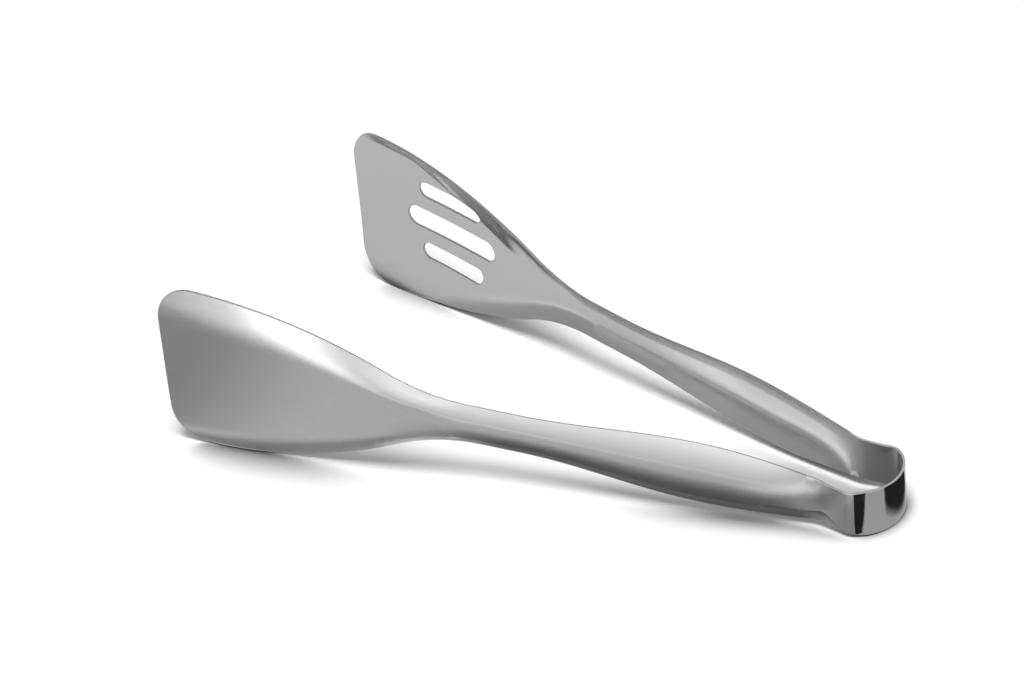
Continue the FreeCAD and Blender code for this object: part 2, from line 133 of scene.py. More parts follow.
def bowHalfHeight(x):
    scallop = bow["waistScallop"] - np.sqrt(bow["waistScallop"] ** 2 - (x - bow["waistAt"]) ** 2)
    return np.minimum(bow["height"] / 2, bow["waistHeight"] / 2 + scallop)


def bowSpine():
    # half of the strip's middle line, walked from the back to the seam: x, y, heading
    runs = [  # turn in degrees and radius, or no turn and a length
        (-bow["backTurn"], bow["backRadius"]),
        (-(90 - bow["backTurn"] + bow["legInward"]), bow["cornerRadius"]),
        (0, bow["legLength"]),
        (bow["legInward"] + spread, bow["waistBend"]),
        (0, bow["stub"]),
    ]
    x, y, heading = sheet["thickness"] / 2, 0.0, math.pi / 2
    stations = [(x, y, heading)]
    for turn, run in runs:
        angle = math.radians(turn)
        length = abs(angle) * run if turn else run
        steps = math.ceil(length / bow["alongStep"])
        chord = 2 * run * math.sin(abs(angle) / steps / 2) if turn else length / steps
        for _ in range(steps):
            heading += angle / steps / 2
            x += chord * math.cos(heading)
            y += chord * math.sin(heading)
            heading += angle / steps / 2
            stations.append((x, y, heading))
    return np.array(stations)


def bowRing(half, crown):
    # the strip's section all the way round: off the middle line, height, normal off, normal up
    radius = sheet["edgeRadius"]
    edge = edgeProfile()
    across = np.linspace(-1, 1, bow["acrossSteps"] + 1)[1:-1] * (half - radius)
    ring = [(sheet["thickness"] / 2, z, 1, 0) for z in across]
    ring += [(off, half + out, math.cos(a), math.sin(a)) for out, off, a in edge]
    ring += [(-sheet["thickness"] / 2, z, -1, 0) for z in across[::-1]]
    ring += [(off, -half - out, math.cos(a), -math.sin(a)) for out, off, a in reversed(edge)]
    ring = np.array(ring)
    lean = np.clip(ring[:, 1] / half, -1, 1) * 2 * crown / half
    ring[:, 3] += ring[:, 2] * lean
    ring[:, 0] += crown * (1 - (ring[:, 1] / half) ** 2)
    return ring


def armBody(side):
    # the solid arm is on side 1 of the plan, the slotted one on side -1
    return "solid_arm" if side > 0 else "slotted_arm"


def makeBowHalf(name, side):
    stations = bowSpine()
    walked = np.concatenate([[0], np.cumsum(np.hypot(*np.diff(stations[:, :2], axis=0).T))])
    vertices, normals, grain = [], [], []
    for (x, y, heading), along in zip(stations, walked):
        rise = np.clip(1 - (walked[-1] - along) / bow["crownRun"], 0, 1)
        crown = bow["crown"] * rise * rise * (3 - 2 * rise)
        ring = bowRing(float(bowHalfHeight(x)), crown)
        off = np.array([-math.sin(heading), math.cos(heading)])
        flat = np.array([x, y]) + ring[:, :1] * off
        facing = ring[:, 2:3] * off
        vertices.append(np.column_stack([flat[:, 0], side * flat[:, 1], ring[:, 1]]))
        normals.append(unit(np.column_stack([facing[:, 0], side * facing[:, 1], ring[:, 3]])))
        grain += [(side * along * mm, z * mm) for z in ring[:, 1]]
    count = len(vertices[0])
    faces = []
    for row in range(len(stations) - 1):
        for i in range(count):
            j = (i + 1) % count
            quad = (row * count + i, row * count + j, (row + 1) * count + j, (row + 1) * count + i)
            faces.append(quad if side > 0 else quad[::-1])
    last = (len(stations) - 1) * count
    ends = [tuple(range(count))[::-1], tuple(range(last, last + count))]
    faces += ends if side > 0 else [end[::-1] for end in ends]
    piece = makePiece(name, np.vstack(vertices), faces, np.vstack(normals), grain)
    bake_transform(piece)
    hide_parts("spring_bow")
    return piece


arm = {
    "gripLength": 43.6, "gripHeight": 27.2, "gripDepth": 6.0,
    "taperLength": 74.6,
    "neckLength": 17.3, "neckHeight": 17.3, "neckDepth": 3.6,
    "bladeLength": 132.3, "neckFillet": 81.0, "flareAngle": 25.5, "edgeRadius": 197.0,
    "seamCrown": 1.7, "dishDepth": 5.2, "tipDepth": 1.4,
    "lipInset": 1.25, "neckInset": 1.75, "bladeInset": 0.45, "tipHook": 3.0,  # how far the rims turn in
    "tipSlant": 2.3, "tipTopRadius": 15.4, "tipBottomRadius": 14.9,
    "seamPower": 2.0, "handlePower": 2.15, "neckPower": 2.0, "bladePower": 3.0,  # 2 is a plain curve
    "rimStep": 1.2, "faceStep": 2.0, "cornerStep": 6.0,
    "fewestAcross": 6,
}
bands = {  # the bent band along each blade's upper edge
    "solidStart": 0.48, "solidBend": 0.32,  # as shares of the blade's half height
    "slottedIn": (7.5, 18.0),  # how far inside the rim its fold runs, near the tip and most
    "slottedEnd": 9.0, "slottedRun": 80.0,  # back from the tip
    "slottedBend": 3.0,
    "slottedFrom": 0.06, "slottedOver": 0.14,  # the shares of the blade over which it comes in
    "lowestStart": 0.1,
    "slottedMore": 0.9,  # how much deeper the slotted blade is pressed half way along
}
slots = {
    "setback": 48.8, "pitch": 14.6, "rise": 1.3, "tilt": 3.2,
    "middle": (46.1, 9.0), "outer": (32.4, 6.9),
    "stepAngle": 10.0, "sideStep": 1.2,
}
taperStart = arm["gripLength"]
neckStart = taperStart + arm["taperLength"]
bladeStart = neckStart + arm["neckLength"]
armLength = bladeStart + arm["bladeLength"]
flareCosine = math.cos(math.radians(arm["flareAngle"]))
flareSine = math.sin(math.radians(arm["flareAngle"]))
flareEnd = bladeStart + arm["neckFillet"] * flareSine
flareLength = flareEnd - bladeStart
edgeLength = armLength - flareEnd
bladeHalf = arm["neckHeight"] / 2 + (arm["neckFillet"] + arm["edgeRadius"]) * (1 - flareCosine)
seamPoint = bowSpine()[-1]
seamHalf = float(bowHalfHeight(seamPoint[0]))


def stretches(along, grip, taper, neck, flare, edge):
    # one rule for each stretch of the arm; a rule takes its share of the stretch, from 0 to 1
    rules = [
        (0, taperStart, grip),
        (taperStart, neckStart, taper),
        (neckStart, bladeStart, neck),
        (bladeStart, flareEnd, flare),
        (flareEnd, armLength, edge),
    ]
    value = np.zeros_like(along)
    for start, end, rule in rules:
        share = (along - start) / (end - start)
        here = share >= 0 if start else np.full(along.shape, True)
        value = np.where(here, rule(np.clip(share, 0, None)), value)
    return value


def eased(share):
    return (1 - np.cos(np.pi * np.clip(share, 0, 1))) / 2


def halfHeight(along):
    grip = arm["gripHeight"] / 2
    neck = arm["neckHeight"] / 2
    fillet = arm["neckFillet"]
    edge = arm["edgeRadius"]
    return stretches(
        along,
        lambda s: seamHalf + (grip - seamHalf) * np.sin(np.pi / 2 * np.clip(s, 0, 1)),
        lambda s: grip + (neck - grip) * eased(s),
        lambda s: neck + 0 * s,
        lambda s: neck + fillet - np.sqrt(fillet ** 2 - (np.clip(s, 0, 1) * flareLength) ** 2),
        lambda s: bladeHalf - edge + np.sqrt(edge ** 2 - (edge * flareSine - s * edgeLength) ** 2))


def channelDepth(along):
    crown, grip, neck = arm["seamCrown"], arm["gripDepth"], arm["neckDepth"]
    dish, tip = arm["dishDepth"], arm["tipDepth"]
    return stretches(
        along,
        lambda s: crown + (grip - crown) * (1 - (1 - np.clip(s, 0, 1)) ** 3),
        lambda s: grip + (neck - grip) * eased(s),
        lambda s: neck + 0 * s,
        lambda s: neck + (dish - neck) * np.clip(s, 0, 1),
        lambda s: tip + (dish - tip) * np.cos(np.pi / 2 * np.clip(s, 0, 1)))


def rimInset(along):
    lip, neck, blade, hook = arm["lipInset"], arm["neckInset"], arm["bladeInset"], arm["tipHook"]
    return stretches(
        along,
        lambda s: lip * (1 - (1 - np.clip(s, 0, 1)) ** 2),
        lambda s: lip + (neck - lip) * eased(s),
        lambda s: neck + 0 * s,
        lambda s: neck + (blade - neck) * np.clip(s, 0, 1),
        lambda s: blade + (hook - blade) * np.clip(s, 0, 1.1) ** 3)


def webPower(along):
    # more than 2 makes a flatter web
    seam, handle, neck, blade = (arm[part + "Power"] for part in ("seam", "handle", "neck", "blade"))
    return stretches(
        along,
        lambda s: seam + (handle - seam) * eased(s),
        lambda s: handle + (neck - handle) * eased(s),
        lambda s: neck + 0 * s,
        lambda s: neck + (blade - neck) * eased(s),
        lambda s: blade + 0 * s)


def bandShare(along, side):
    # the solid blade's band comes in over the flare, the slotted one's past it
    def none(s):
        return 0 * s

    def full(s):
        return 1 + 0 * s

    def late(s):
        return eased((s - bands["slottedFrom"]) / bands["slottedOver"])

    flare, edge = (eased, full) if side > 0 else (none, late)
    return stretches(along, none, none, none, flare, edge)


def sectionFall(along, height, side):
    # how far the section has fallen from its web, from 0 there to 1 at the rims
    half = halfHeight(along)
    up = height / half
    if side > 0:
        start, bend = bands["solidStart"], bands["solidBend"]
    else:
        least, most = bands["slottedIn"]
        run = np.clip((armLength - bands["slottedEnd"] - along) / bands["slottedRun"], 0, 1)
        foldIn = np.clip(most * np.sin(np.pi / 2 * run), least, None)
        start = np.clip(1 - foldIn / half, bands["lowestStart"], None)
        bend = bands["slottedBend"] / half
    past = np.clip(up - start, 0, None)
    band = np.where(past < bend, past ** 2 / (2 * bend), past - bend / 2) / (1 - start - bend / 2)
    share = np.where(up > 0, bandShare(along, side), 0)
    return np.abs(up) ** webPower(along) * (1 - share) + band * share


def sheetMiddle(along, height, side):
    # the middle of an arm's sheet, in plan millimetres
    depth = channelDepth(along)
    if side < 0:
        blade = np.clip((along - flareEnd) / edgeLength, 0, 1)
        depth = depth + bands["slottedMore"] * np.sin(np.pi * blade)
    out = depth * (1 - sectionFall(along, height, side)) - rimInset(along)
    turn = math.radians(spread)
    x = seamPoint[0] + along * math.cos(turn) - out * math.sin(turn)
    y = seamPoint[1] + along * math.sin(turn) + out * math.cos(turn)
    return np.stack([x, side * y, height], axis=-1)


def sheetNormal(along, height, side):
    probe = sheet["faceProbe"]
    alongWay = sheetMiddle(along + probe, height, side) - sheetMiddle(along - probe, height, side)
    upWay = sheetMiddle(along, height + probe, side) - sheetMiddle(along, height - probe, side)
    return unit(np.cross(upWay, alongWay)) * side


def tipCorner(sign):
    radius = arm["tipTopRadius"] if sign > 0 else arm["tipBottomRadius"]
    slant = math.radians(arm["tipSlant"])
    z = sign * (bladeHalf - radius)
    return armLength + z * math.tan(slant) - radius / math.cos(slant), z, radius


def armOutline():
    # from the seam along the lower rim, round the tip and back along the upper rim
    slant = math.radians(arm["tipSlant"])

    def rim(end):
        return np.linspace(0, end, math.ceil(end / arm["rimStep"]) + 1)

    def bend(corner, start, end):
        x, z, radius = corner
        steps = math.ceil(math.degrees(end - start) / arm["cornerStep"])
        angles = np.linspace(start, end, steps + 1)
        return [(x + radius * math.cos(a), z + radius * math.sin(a)) for a in angles]

    low, high = tipCorner(-1), tipCorner(1)
    lower = [(a, -h) for a, h in zip(rim(low[0]), halfHeight(rim(low[0])))]
    upper = [(a, h) for a, h in zip(rim(high[0]), halfHeight(rim(high[0])))][::-1]
    lowerBend = bend(low, -math.pi / 2, -slant)
    upperBend = bend(high, -slant, math.pi / 2)
    steps = math.ceil((upperBend[0][1] - lowerBend[-1][1]) / arm["rimStep"])
    start, end = np.array(lowerBend[-1]), np.array(upperBend[0])
    edge = [tuple(start + (end - start) * k / steps) for k in range(1, steps)]
    return np.array(lower[:-1] + lowerBend + edge + upperBend + upper[1:])


def slotRows():
    for level in (-1, 0, 1):
        length, width = slots["middle"] if level == 0 else slots["outer"]
        centre = np.array([armLength - slots["setback"], slots["rise"] + level * slots["pitch"]])
        yield centre, length, width


slotTurn = np.array(Matrix.Rotation(math.radians(slots["tilt"]), 2))


def slotOutline(centre, length, width):
    # walked so that the metal is on the left
    radius = width / 2
    reach = length / 2 - radius
    ends = round(180 / slots["stepAngle"])
    sides = math.ceil(2 * reach / slots["sideStep"])
    angles = np.linspace(math.pi / 2, -math.pi / 2, ends + 1)
    far = [(reach + radius * math.cos(a), radius * math.sin(a)) for a in angles]
    bottom = [(reach * (1 - 2 * k / sides), -radius) for k in range(1, sides)]
    points = far + bottom + [(-x, -z) for x, z in far] + [(-x, -z) for x, z in bottom]
    return centre + np.array(points) @ slotTurn.T


def outwards(path, closed):
    # unit steps off the metal at each point of an edge, in the flat
    if closed:
        way = np.roll(path, -1, axis=0) - np.roll(path, 1, axis=0)
    else:
        way = np.gradient(path, axis=0)
        way[0], way[-1] = path[1] - path[0], path[-1] - path[-2]
    return unit(np.column_stack([way[:, 1], -way[:, 0]]))


def insideEdge(path, closed, side):
    # the edge drawn back over the face by the edge radius, measured on the curved sheet
    off = outwards(path, closed)
    probe = sheet["edgeProbe"]
    stepped = sheetMiddle(*(path - off * probe).T, side) - sheetMiddle(*path.T, side)
    stretch = np.linalg.norm(stepped, axis=1) / probe
    inner = path - off * (sheet["edgeRadius"] / stretch)[:, None]
    if not closed:
        inner[[0, -1], 0] = path[[0, -1], 0]
    return inner


def insideTip(points, margin):
    slope = math.tan(math.radians(arm["tipSlant"]))
    keep = points[:, 0] < armLength + points[:, 1] * slope - margin
    for sign in (1, -1):
        x, z, radius = tipCorner(sign)
        beyond = (points[:, 0] > x) & (sign * points[:, 1] > sign * z)
        keep &= ~beyond | (np.hypot(points[:, 0] - x, points[:, 1] - z) < radius - margin)
    return keep


def pastSlot(points, hole, margin):
    centre, length, width = hole
    local = (points - centre) @ slotTurn
    over = np.maximum(np.abs(local[..., 0]) - (length - width) / 2, 0)
    return np.hypot(over, local[..., 1]) > width / 2 + margin


def facePoints(holes):
    # points spread over the face, clear of its edges
    step = arm["faceStep"]
    clear = step / 2
    points = []
    for along in np.arange(step, armLength, step):
        half = float(halfHeight(np.array(along)))
        count = max(arm["fewestAcross"], round(2 * half / step))
        points += [(along, share * half) for share in np.linspace(-1, 1, count + 1)[1:-1]]
    points = np.array(points)
    keep = insideTip(points, clear)
    for hole in holes:
        keep &= pastSlot(points, hole, clear)
    return points[keep]


def flatFace(edges, holes, side):
    # the face laid out flat: its points, its triangles, and each edge's own points among them
    inner = [insideEdge(path, closed, side) for path, closed in edges]
    top, bottom = inner[0][-1], inner[0][0]
    heelSteps = round((top[1] - bottom[1]) / arm["rimStep"])
    heelLine = top + (bottom - top) * (np.arange(1, heelSteps) / heelSteps)[:, None]
    loops = [np.vstack([inner[0], heelLine])] + inner[1:]

    flat, rules, starts = [], [], []
    for loop in loops:
        start = len(flat)
        starts.append(start)
        flat += [Vector(p) for p in loop]
        rules += [(start + i, start + (i + 1) % len(loop)) for i in range(len(loop))]
    flat += [Vector(p) for p in facePoints(holes)]
    enclosed = 1  # keep what the rules enclose
    found, _, triangles, origin, _, _ = geometry.delaunay_2d_cdt(
        flat, rules, [], enclosed, sheet["weldWithin"])
    place = {old: new for new, olds in enumerate(origin) for old in olds}
    rings = [[place[start + i] for i in range(len(loop))] for start, loop in zip(starts, loops)]
    openings = [set(ring) for ring in rings[1:]]  # a triangle with all its corners on one fills a slot
    triangles = [tuple(t) for t in triangles if not any(opening.issuperset(t) for opening in openings)]
    return np.array([tuple(p) for p in found]), triangles, rings


def edgeBand(path, closed, side):
    # the rows between the two faces along one edge, each with its normals
    base, up = sheetMiddle(*path.T, side), sheetNormal(*path.T, side)
    probe = sheet["edgeProbe"]
    out = sheetMiddle(*(path + outwards(path, closed) * probe).T, side) - base
    if not closed:
        for i in (0, -1):
            beyond = path[i, 1] + probe * np.sign(path[i, 1])
            out[i] = sheetMiddle(path[i, 0], beyond, side) - base[i]
    out = unit(out - up * np.sum(out * up, axis=1)[:, None])
    for outward, lift, angle in edgeProfile()[1:-1]:
        yield base + out * outward + up * lift, out * math.sin(angle) + up * math.cos(angle)


def makeArm(name, side, slotted):
    holes = list(slotRows()) if slotted else []
    edges = [(armOutline(), False)] + [(slotOutline(*hole), True) for hole in holes]
    found, triangles, rings = flatFace(edges, holes, side)

    # the two faces
    half = sheet["thickness"] / 2
    count = len(found)
    middle, normal = sheetMiddle(*found.T, side), sheetNormal(*found.T, side)
    vertices = [middle + normal * half, middle - normal * half]
    normals = [normal, -normal]
    grain = [tuple(p * mm) for p in found] * 2
    faces = [t if side < 0 else t[::-1] for t in triangles]
    faces += [tuple(i + count for i in (t[::-1] if side < 0 else t)) for t in triangles]
    total = 2 * count
    faceFaces = len(faces)

    # the rim and the walls of the slots
    heelEnds = []
    for (path, closed), ring in zip(edges, rings):
        columns = [ring[:len(path)]]
        for row, rowNormals in edgeBand(path, closed, side):
            vertices.append(row)
            normals.append(rowNormals)
            grain += [tuple(p * mm) for p in path]
            columns.append(list(range(total, total + len(path))))
            total += len(path)
        columns.append([i + count for i in columns[0]])
        span = len(path) if closed else len(path) - 1
        for first, second in zip(columns[:-1], columns[1:]):
            for i in range(span):
                j = (i + 1) % len(path)
                quad = (first[i], first[j], second[j], second[i])
                faces.append(quad if side > 0 else quad[::-1])
        if not closed:
            heelEnds = [[column[0] for column in columns], [column[-1] for column in columns]]

    # the end that meets the bow
    heel = rings[0][len(edges[0][0]):]
    cap = heelEnds[1] + [i + count for i in heel] + heelEnds[0][::-1] + heel[::-1]
    faces.append(tuple(cap) if side < 0 else tuple(cap[::-1]))
    piece = makePiece(name, np.vstack(vertices), faces, np.vstack(normals), grain, len(faces) - faceFaces)
    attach(piece, armBody(side))
    return piece


nearBow = makeBowHalf("bow_half_near", 1)
farBow = makeBowHalf("bow_half_far", -1)
print("bow made")
solidArm = makeArm("solid_arm_sheet", 1, False)
slottedArm = makeArm("slotted_arm_sheet", -1, True)
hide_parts("solid_blade_arm")
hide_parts("slotted_blade_arm")
print("arms made")


steelLooks = {
    "satinSteel": {  # the arms, brushed lengthways
        "colour": (0.42, 0.42, 0.425), "roughness": 0.22, "roughnessPlay": 0.04,
        "grainLength": 0.015, "grainWidth": 0.00035, "grainDepth": 0.000002,
    },
    "cutEdge": {  # the arms' rims and slot walls, rougher, with a darker colour that paints the dark line along the rims
        "colour": (0.28, 0.28, 0.285), "roughness": 0.42, "roughnessPlay": 0.06,
        "grainLength": 0.004, "grainWidth": 0.0006, "grainDepth": 0.000004,
    },
    "polishedSteel": {  # the bow
        "colour": (0.43, 0.43, 0.435), "roughness": 0.07, "roughnessPlay": 0.02,
        "grainLength": 0.02, "grainWidth": 0.0003, "grainDepth": 0.0000015,
    },
}


polish = {  # what the three steels share
    "streakDetail": 3.0,
    "cloudScale": 28.0, "cloudDetail": 2.0,  # slow change where the wheel pressed more or less
    "mottle": (0.6, 1.4),  # streaks and cloud together, where smoothest and roughest
    "tonePlay": 0.04,
    "bumpStrength": 0.6,
}


def mathNode(nodes, links, operation, first, second):
    # each of the two is an output to link, or a number
    node = nodes.new("ShaderNodeMath")
    node.operation = operation
    for socket, value in zip(node.inputs, (first, second)):
        if isinstance(value, float):
            socket.default_value = value
        else:
            links.new(value, socket)
    return node.outputs[0]


def rangeNode(nodes, links, value, start=(0.0, 1.0), end=(0.0, 1.0), kind="LINEAR"):
    node = nodes.new("ShaderNodeMapRange")
    node.interpolation_type = kind
    node.inputs["From Min"].default_value, node.inputs["From Max"].default_value = start
    node.inputs["To Min"].default_value, node.inputs["To Max"].default_value = end
    links.new(value, node.inputs["Value"])
    return node.outputs["Result"]


def noiseNode(nodes, scale, detail):
    node = nodes.new("ShaderNodeTexNoise")
    node.inputs["Scale"].default_value = scale
    node.inputs["Detail"].default_value = detail
    return node


def makeSteel(name):
    look = steelLooks[name]
    material = bpy.data.materials.new(name)
    material.use_nodes = True
    nodes, links = material.node_tree.nodes, material.node_tree.links
    shader = nodes["Principled BSDF"]
    shader.inputs["Metallic"].default_value = 1.0
    along = nodes.new("ShaderNodeUVMap")
    along.uv_map = "alongSheet"
    stretch = nodes.new("ShaderNodeMapping")
    stretch.inputs["Scale"].default_value = (1 / look["grainLength"], 1 / look["grainWidth"], 1)
    streaks = noiseNode(nodes, 1.0, polish["streakDetail"])
    links.new(along.outputs["UV"], stretch.inputs["Vector"])
    links.new(stretch.outputs["Vector"], streaks.inputs["Vector"])

    cloud = noiseNode(nodes, polish["cloudScale"], polish["cloudDetail"])
    mottle = mathNode(nodes, links, "ADD", streaks.outputs["Fac"], cloud.outputs["Fac"])
    play = (look["roughness"] - look["roughnessPlay"], look["roughness"] + look["roughnessPlay"])
    links.new(rangeNode(nodes, links, mottle, polish["mottle"], play), shader.inputs["Roughness"])

    tone = nodes.new("ShaderNodeMixRGB")
    for socket, share in (("Color1", 1 - polish["tonePlay"]), ("Color2", 1 + polish["tonePlay"])):
        tone.inputs[socket].default_value = (*[c * share for c in look["colour"]], 1)
    links.new(streaks.outputs["Fac"], tone.inputs["Fac"])
    links.new(tone.outputs["Color"], shader.inputs["Base Color"])
    bump = nodes.new("ShaderNodeBump")
    bump.inputs["Strength"].default_value = polish["bumpStrength"]
    bump.inputs["Distance"].default_value = look["grainDepth"]
    links.new(streaks.outputs["Fac"], bump.inputs["Height"])
    links.new(bump.outputs["Normal"], shader.inputs["Normal"])
    return material


armSteel = makeSteel("satinSteel")
edgeSteel = makeSteel("cutEdge")
bowSteel = makeSteel("polishedSteel")
for piece in (solidArm, slottedArm):
    piece.data.materials.append(armSteel)
    piece.data.materials.append(edgeSteel)
for piece in (nearBow, farBow):
    piece.data.materials.append(bowSteel)
print("steel made")


table = {
    "reach": 4.0,
    "colour": 0.9,
    "lift": 0.14,  # added to what the view sees of it, so that it stays white
    "steelLift": 0.70,  # added to what the steel shows of it
    "shadeWithin": 0.045,  # how far the painted shade reaches from the steel
    "shadeSamples": 32,
    "shade": (0.34, 0.80),  # from dark to clear, as the view sees it
    "steelShade": (0.18, 0.58),  # and as the steel shows it
}


def seenDirectly(nodes, links, path):
    # 1 for camera, glossy and transmission rays, 0 for the rest
    first = mathNode(nodes, links, "MAXIMUM", path.outputs["Is Camera Ray"], path.outputs["Is Glossy Ray"])
    return mathNode(nodes, links, "MAXIMUM", first, path.outputs["Is Transmission Ray"])


def makeTable():
    reach = table["reach"]
    mesh = bpy.data.meshes.new("table")
    corners = [(-reach, -reach, 0), (reach, -reach, 0), (reach, reach, 0), (-reach, reach, 0)]
    mesh.from_pydata(corners, [], [(0, 1, 2, 3)])
    top = bpy.data.objects.new("table", mesh)
    bpy.context.scene.collection.objects.link(top)
    material = bpy.data.materials.new("tablePaper")
    material.use_nodes = True
    nodes, links = material.node_tree.nodes, material.node_tree.links
    shader = nodes["Principled BSDF"]
    shader.inputs["Roughness"].default_value = 1.0
    shader.inputs["Specular IOR Level"].default_value = 0.0
    path = nodes.new("ShaderNodeLightPath")

    # painted shade: the table's colour and glow are darkened by occlusion close to the steel
    occlusion = nodes.new("ShaderNodeAmbientOcclusion")
    occlusion.samples = table["shadeSamples"]
    occlusion.inputs["Distance"].default_value = table["shadeWithin"]
    shade = nodes.new("ShaderNodeMix")
    links.new(path.outputs["Is Glossy Ray"], shade.inputs["Factor"])
    for socket, key in (("A", "shade"), ("B", "steelShade")):
        fade = rangeNode(nodes, links, occlusion.outputs["AO"], table[key], kind="SMOOTHSTEP")
        links.new(fade, shade.inputs[socket])

    paper = nodes.new("ShaderNodeMixRGB")
    paper.inputs["Color1"].default_value = (0, 0, 0, 1)
    paper.inputs["Color2"].default_value = (table["colour"], table["colour"], table["colour"], 1)
    links.new(shade.outputs["Result"], paper.inputs["Fac"])
    links.new(paper.outputs["Color"], shader.inputs["Base Color"])

    shader.inputs["Emission Color"].default_value = (1, 1, 1, 1)
    lifts = (table["steelLift"], table["lift"])
    glow = rangeNode(nodes, links, path.outputs["Is Camera Ray"], end=lifts)
    shaded = mathNode(nodes, links, "MULTIPLY", glow, shade.outputs["Result"])
    lift = mathNode(nodes, links, "MULTIPLY", seenDirectly(nodes, links, path), shaded)
    links.new(lift, shader.inputs["Emission Strength"])
    mesh.materials.append(material)


# cards stand and lie round the table and show only in the metal;
# soft is the faded share at the left, right, low and high edge
softboxes = {  # foot is left and right in plan, top their heights, tone low and high
    "frontSoftbox": {
        "foot": ((-0.50, 0.50), (0.30, 0.50)), "top": (0.75, 0.75),
        "tone": (1.0, 2.5), "soft": (0.1, 0.15, 0.01, 0.05),
    },
    "sideSoftbox": {
        "foot": ((0.30, 0.50), (0.85, -0.05)), "top": (0.70, 0.70),
        "tone": (0.62, 0.55), "soft": (0.05, 0.1, 0.01, 0.1),
    },
    "backSoftbox": {
        "foot": ((0.42, -0.70), (0.95, -0.10)), "top": (0.30, 0.30),
        "tone": (1.9, 1.9), "soft": (0.2, 0.2, 0.01, 0.3),
    },
    "lowSoftbox": {  # stands end-on to the slotted arm's handle, so that only the solid blade shows it
        "foot": ((0.035, 0.179), (0.21, 0.403)), "top": (0.17, 0.22),
        "tone": (3.4, 3.4), "soft": (0.42, 0.15, 0.35, 0.3),
    },
}
shades = {  # dark sheets lying on the table, seen only in the metal, that paint shade into the table where the metal reflects it; plan goes low left, low right, high right, high left
    "frontShade": {
        "plan": ((-0.130, 0.0175), (0.25, 0.080), (0.25, 0.48), (-0.20, 0.44)),
        "height": 0.0004, "tone": 0.02, "cover": 0.47, "soft": (0.15, 0.05, 0.01, 0.8),
    },
    "handleShade": {
        "plan": ((-0.130, 0.0175), (0.07, 0.0525), (0.06, 0.100), (-0.14, 0.065)),
        "height": 0.0005, "tone": 0.02, "cover": 0.85, "soft": (0.15, 0.3, 0.01, 1.0),
    },
    "tipShade": {
        "plan": ((0.09, 0.064), (0.26, 0.082), (0.26, 0.25), (0.09, 0.25)),
        "height": 0.0006, "tone": 0.02, "cover": 0.47, "soft": (0.5, 0.05, 0.01, 0.5),
    },
    "loopShade": {
        "plan": ((-0.134, -0.017), (-0.080, -0.022), (-0.080, 0.006), (-0.134, 0.013)),
        "height": 0.0006, "tone": 0.02, "cover": 0.64, "soft": (0.05, 0.35, 0.05, 0.1),
    },
    "rimShade": {
        "plan": ((-0.130, 0.006), (0.07, 0.040), (0.07, 0.054), (-0.130, 0.019)),
        "height": 0.0008, "tone": 0.02, "cover": 0.85, "soft": (0.1, 0.3, 0.3, 0.05),
    },
    "footShade": {
        "plan": ((0.03, 0.042), (0.150, 0.060), (0.150, 0.070), (0.03, 0.060)),
        "height": 0.0008, "tone": 0.02, "cover": 0.5, "soft": (0.3, 0.1, 0.1, 0.3),
    },
    "palmShade": {
        "plan": ((-0.105, -0.030), (-0.02, -0.030), (-0.02, 0.0), (-0.105, -0.004)),
        "height": 0.0006, "tone": 0.02, "cover": 0.22, "soft": (0.25, 0.3, 0.3, 0.3),
    },
    "jawShade": {
        "plan": ((-0.04, -0.055), (0.26, -0.062), (0.26, 0.055), (-0.04, 0.035)),
        "height": 0.0005, "tone": 0.02, "cover": 0.38, "soft": (0.25, 0.1, 0.02, 0.2),
    },
    "heelShade": {
        "plan": ((0.07, -0.068), (0.21, -0.080), (0.21, -0.055), (0.07, -0.042)),
        "height": 0.0006, "tone": 0.02, "cover": 0.92, "soft": (0.08, 0.1, 0.02, 0.40),
    },
    "gripShade": {
        "plan": ((-0.20, -0.055), (-0.095, -0.055), (-0.095, 0.075), (-0.20, 0.075)),
        "height": 0.0003, "tone": 0.02, "cover": 0.6, "soft": (0.25, 0.3, 0.25, 0.4),
    },
    "legShade": {
        "plan": ((-0.139, 0.0165), (-0.116, 0.0185), (-0.106, 0.055), (-0.155, 0.060)),
        "height": 0.0006, "tone": 0.02, "cover": 0.35, "soft": (0.05, 0.6, 0.02, 0.6),
    },
    # these two paint dark reflections, the black bands across the polished bow
    "bowShadeNear": {
        "plan": ((-0.1398, 0.0155), (-0.1366, 0.0171), (-0.153, 0.060), (-0.185, 0.042)),
        "height": 0.0007, "tone": 0.01, "cover": 0.97, "soft": (0.05, 0.05, 0.01, 0.05),
    },
    "bowShadeBack": {
        "plan": ((-0.1485, 0.0065), (-0.139, -0.0185), (-0.150, -0.060), (-0.205, 0.000)),
        "height": 0.0007, "tone": 0.01, "cover": 0.97, "soft": (0.04, 0.04, 0.22, 0.1),
    },
}


